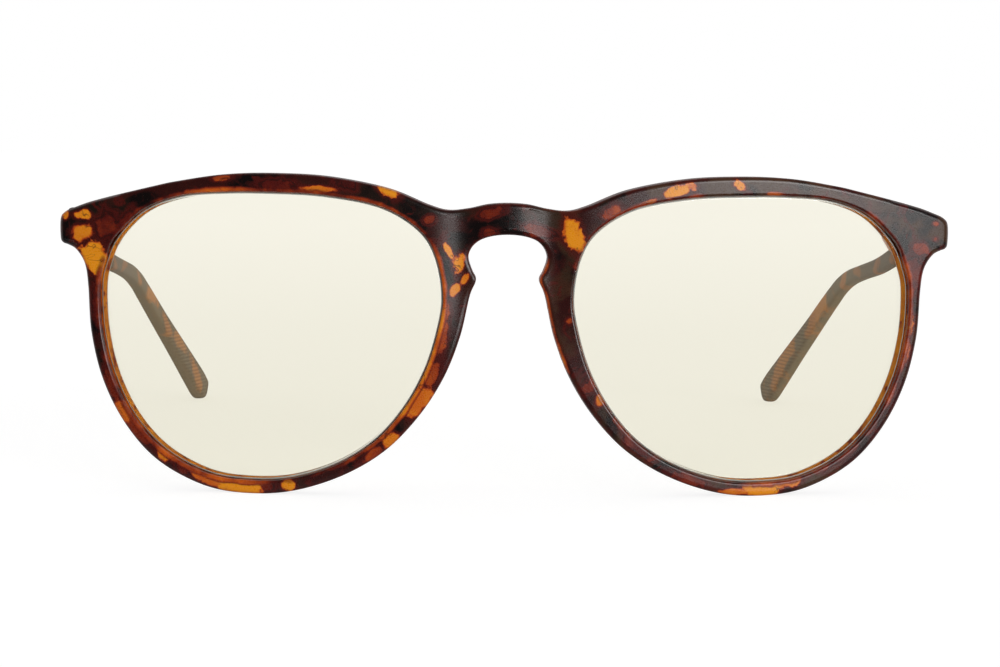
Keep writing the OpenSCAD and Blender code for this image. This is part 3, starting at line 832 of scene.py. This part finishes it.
# The camera: degrees to the wearer's left and up, metres away, its roll in degrees,
# its lens in mm on a sensor SENSOR mm wide, and its shift.
CAMERA_SIDE, CAMERA_HIGH, CAMERA_AWAY, CAMERA_ROLL = -1.7, 4.5, 0.45, 0.5
SENSOR, CAMERA_LENS, CAMERA_SHIFT = 36, 105.156, (-0.0076, 0.0034)
AIM_Z = 25.0
# Half the floor's width in metres.
FLOOR_HALF = 3.0
# Its paint for diffuse light, where it is seen and where it is mirrored in front of the
# glasses, which it fades to between DIM_FROM and DIM_TO, and how white it looks.
PAINT, PAINT_SEEN, PAINT_DIM, DIM_FROM, DIM_TO, FLOOR_WHITE = 0.8, 0.3, 0.05, 0.02, -0.12, 1.005


def seen_rays(n):
    """1 for rays from the camera and through or off glossy things, 0 for diffuse light."""
    path = n.make("ShaderNodeLightPath").outputs
    either = n.math("MAXIMUM", path["Is Glossy Ray"], path["Is Transmission Ray"])
    return n.math("MAXIMUM", path["Is Camera Ray"], either)


def build_floor(props):
    """A wide pale floor. Where it is seen, most of its white is its own, so that only
    a soft shadow shows on it. The glasses mirror it dark in front of them, as they
    would with a dark room there, and white behind."""
    far = FLOOR_HALF
    mesh = bpy.data.meshes.new("floor")
    mesh.from_pydata([(-far, -far, 0), (far, -far, 0), (far, far, 0), (-far, far, 0)],
                     [], [(0, 1, 2, 3)])
    floor = bpy.data.objects.new("floor", mesh)
    bpy.context.scene.collection.objects.link(floor)
    n = Nodes(bpy.data.materials.new("floor_white"))
    seen = seen_rays(n)
    paint = n.mix(seen, [PAINT] * 3, [PAINT_SEEN] * 3)
    along = n.part(n.object_place(), "Y")
    path = n.make("ShaderNodeLightPath").outputs
    mirrored = n.math("MULTIPLY", path["Is Reflection Ray"], path["Is Glossy Ray"])
    dim = n.math("MULTIPLY", mirrored,
                 n.math("SUBTRACT", 1.0, n.step(along, DIM_TO, DIM_FROM)))
    paint = n.mix(dim, paint, [PAINT_DIM] * 3)
    seen = n.math("MULTIPLY", seen, n.math("SUBTRACT", 1.0, n.math("MULTIPLY", dim, 0.97)))
    level = props.fill_light + props.key_light * math.sin(math.radians(KEY_HIGH)) / math.pi
    diffuse = n.make("ShaderNodeBsdfDiffuse", {"Color": paint})
    glow = n.make("ShaderNodeEmission", {
        "Strength": n.math("MULTIPLY", seen, FLOOR_WHITE - PAINT_SEEN * level)})
    both = n.make("ShaderNodeAddShader", {0: diffuse.outputs[0], 1: glow.outputs[0]})
    mesh.materials.append(n.surface(both))


def build_world(scene, fill):
    """An even white studio. Things reflect it white behind and dimmer in front, and
    its light on them is the fill light."""
    world = bpy.data.worlds.new("studio")
    scene.world = world
    n = Nodes(world, "ShaderNodeOutputWorld")
    path = n.make("ShaderNodeLightPath").outputs
    back = n.part(n.make("ShaderNodeTexCoord").outputs["Generated"], "Y")
    shine = n.math("MULTIPLY_ADD", n.step(back, -0.2, 0.6), 0.95, 0.05)
    straight = n.math("MAXIMUM", path["Is Camera Ray"], path["Is Transmission Ray"])
    level = n.math("MULTIPLY_ADD", path["Is Glossy Ray"], n.math("SUBTRACT", shine, fill), fill)
    level = n.math("ADD", n.math("MULTIPLY", level, n.math("SUBTRACT", 1.0, straight)),
                   straight)
    n.surface(n.make("ShaderNodeBackground", {"Color": (1, 1, 1, 1), "Strength": level}))


def from_side(side, high):
    """The unit vector towards a place side degrees left of straight ahead and high
    degrees up."""
    a, e = math.radians(side), math.radians(high)
    return np.array([math.sin(a) * math.cos(e), -math.cos(a) * math.cos(e), math.sin(e)])


def aimed(obj, place, target):
    """Puts a lamp or camera at a place, looking at a target, both in metres."""
    obj.location = place
    obj.rotation_mode = "QUATERNION"
    obj.rotation_quaternion = (Vector(target) - Vector(place)).to_track_quat("-Z", "Y")


def build_lights(props):
    """One broad soft key light from the wearer's left, a little above the lenses."""
    lamp = bpy.data.lights.new("key", "SUN")
    lamp.angle = math.radians(KEY_SPREAD)
    lamp.energy = props.key_light
    obj = bpy.data.objects.new("key", lamp)
    bpy.context.scene.collection.objects.link(obj)
    aimed(obj, from_side(KEY_SIDE, KEY_HIGH), (0, 0, 0))


def build_camera(scene):
    """Straight on, a little from the wearer's right and from above."""
    data = bpy.data.cameras.new("camera")
    data.sensor_width, data.lens = SENSOR, CAMERA_LENS
    data.clip_start, data.clip_end = 0.01, 20
    data.shift_x, data.shift_y = CAMERA_SHIFT
    camera = bpy.data.objects.new("camera", data)
    scene.collection.objects.link(camera)
    scene.camera = camera
    target = np.array([0, FACE_Y, AIM_Z]) * MM
    aimed(camera, target + CAMERA_AWAY * from_side(CAMERA_SIDE, CAMERA_HIGH), target)
    roll = Quaternion((0, 0, 1), math.radians(CAMERA_ROLL))
    camera.rotation_quaternion = camera.rotation_quaternion @ roll


# ------------------------------ the add-on

def colour(name, description, default):
    """A property that holds a colour."""
    return FloatVectorProperty(name=name, description=description, default=default,
                               subtype="COLOR", size=3, min=0.0, max=1.0)


def length(name, description, default, low, high):
    """A property that holds a length, given here in mm and kept in metres."""
    return FloatProperty(name=name, description=description, default=default * MM,
                         min=low * MM, max=high * MM, precision=5, unit="LENGTH")


class GlassesLook(PropertyGroup):
    """Sizes and colours of the plastic, the lenses and the metal."""

    edge_round: length("Edge rounding", "Width of the rounding of the front's outer edge",
                       0.75, 0.1, 0.9)
    metal_bevel: length("Metal bevel", "Width of the bevel on the hinge leaves", 0.08, 0.01, 0.1)
    dark: colour("Dark", "Near-black ground of the plastic", (0.0045, 0.001, 0.001))
    maroon: colour("Maroon", "Clouds in the dark ground", (0.034, 0.0022, 0.0012))
    brown: colour("Brown", "Brown clouds in the dark ground", (0.062, 0.026, 0.01))
    red: colour("Red", "Halo round a warm patch", (0.085, 0.003, 0.001))
    rust: colour("Rust", "Deep parts of a patch", (0.25, 0.024, 0.001))
    orange: colour("Orange", "Middling parts of a patch", (0.54, 0.09, 0.001))
    amber: colour("Amber", "Clear parts of a patch", (0.68, 0.2, 0.001))
    honey: colour("Honey", "Clearest parts of a patch", (0.78, 0.27, 0.001))
    # Olive and tan are painted sheen: the lighter look of the temples' inner face under the
    # lights.
    painted_sheen_olive: colour("Olive", "Dull inner face of the temples", (0.27, 0.2, 0.11))
    tan: colour("Tan", "Patches on the temples' inner face", (0.55, 0.26, 0.09))
    tint_low: colour("Lens, bottom", "Tint at the bottom of the lenses", (0.862, 0.838, 0.712))
    tint_middle: colour("Lens, middle", "Tint across the middle", (0.883, 0.86, 0.742))
    tint_high: colour("Lens, top", "Tint at the top of the lenses", (0.935, 0.912, 0.8))
    nickel: colour("Nickel", "Metal of the hinges and screws", (0.78, 0.76, 0.73))


class StudioLight(PropertyGroup):
    """Strengths of the studio's lights."""

    fill_light: FloatProperty(name="Fill light", description="Strength of the even studio light",
                              default=0.52, min=0.0, max=2.0)
    key_light: FloatProperty(name="Key light", description="Strength of the light from the side",
                             default=2.5, min=0.0, max=6.0)


class GLASSES_OT_front(Operator):
    """Builds the tortoiseshell front with its moulded nose pads"""

    bl_idname = "glasses.front"
    bl_label = "Front"

    def execute(self, context):
        props = context.scene.glasses_look
        made = build_front(props.edge_round / MM)
        dress(made, [tortoise(props)], "front", ["front"])
        return {"FINISHED"}


class GLASSES_OT_lenses(Operator):
    """Builds the two clear lenses"""

    bl_idname = "glasses.lenses"
    bl_label = "Lenses"

    def execute(self, context):
        props = context.scene.glasses_look
        looks = [clear_lens(props), ground_edge(props)]
        for side in SIDES:
            dress(build_lens(side), looks, "front", [f"lens_{side}"])
        return {"FINISHED"}


class GLASSES_OT_temples(Operator):
    """Builds the two temples"""

    bl_idname = "glasses.temples"
    bl_label = "Temples"

    def execute(self, context):
        look = bpy.data.materials["tortoise_plastic"]
        for side in SIDES:
            made = build_temple(side)
            dress(made, [look], f"temple_{side}", [f"temple_{side}"])
        return {"FINISHED"}


class GLASSES_OT_hinges(Operator):
    """Builds the hinge leaves and their screws"""

    bl_idname = "glasses.hinges"
    bl_label = "Hinges and screws"

    def execute(self, context):
        props = context.scene.glasses_look
        look = hinge_metal(props)
        bevel = props.metal_bevel / MM
        for side in SIDES:
            for node, body, slot, width in (
                    ("front_hinge", "front", "hinge_metal", bevel),
                    ("temple_hinge", f"temple_{side}", "hinge_metal", bevel),
                    ("hinge_screw", "front", "screw_metal", 0.05),
                    ("front_leaf_screws", "front", "screw_metal", 0.03),
                    ("temple_leaf_screws", f"temple_{side}", "screw_metal", 0.03)):
                made = eased_copy(f"{node}_{side}", width, f"{node}_metal_{side}")
                dress(made, [look], body, [f"{node}_{side}"])
        return {"FINISHED"}


class GLASSES_OT_stage(Operator):
    """Sets the floor, the studio light and the camera"""

    bl_idname = "glasses.stage"
    bl_label = "Stage"

    def execute(self, context):
        scene = context.scene
        scene.view_settings.view_transform = "Standard"
        build_floor(scene.studio_light)
        build_world(scene, scene.studio_light.fill_light)
        build_lights(scene.studio_light)
        build_camera(scene)
        return {"FINISHED"}


class GLASSES_PT_panel(Panel):
    """Shows the looks, the lights and a button for each step"""

    bl_label = "Glasses"
    bl_idname = "GLASSES_PT_panel"
    bl_space_type = "VIEW_3D"
    bl_region_type = "UI"
    bl_category = "Glasses"

    def draw(self, context):
        for group in (context.scene.glasses_look, context.scene.studio_light):
            for name in type(group).__annotations__:
                self.layout.prop(group, name)
        for operator in OPERATORS:
            self.layout.operator(operator.bl_idname)


OPERATORS = (GLASSES_OT_front, GLASSES_OT_lenses, GLASSES_OT_temples, GLASSES_OT_hinges,
             GLASSES_OT_stage)
CLASSES = (GlassesLook, StudioLight) + OPERATORS + (GLASSES_PT_panel,)


def register():
    for cls in CLASSES:
        bpy.utils.register_class(cls)
    bpy.types.Scene.glasses_look = PointerProperty(type=GlassesLook)
    bpy.types.Scene.studio_light = PointerProperty(type=StudioLight)


def unregister():
    del bpy.types.Scene.studio_light
    del bpy.types.Scene.glasses_look
    for cls in reversed(CLASSES):
        bpy.utils.unregister_class(cls)


def main():
    register()
    bpy.ops.glasses.front()
    bpy.ops.glasses.lenses()
    bpy.ops.glasses.temples()
    bpy.ops.glasses.hinges()
    bpy.ops.glasses.stage()


if __name__ == "__main__":
    main()
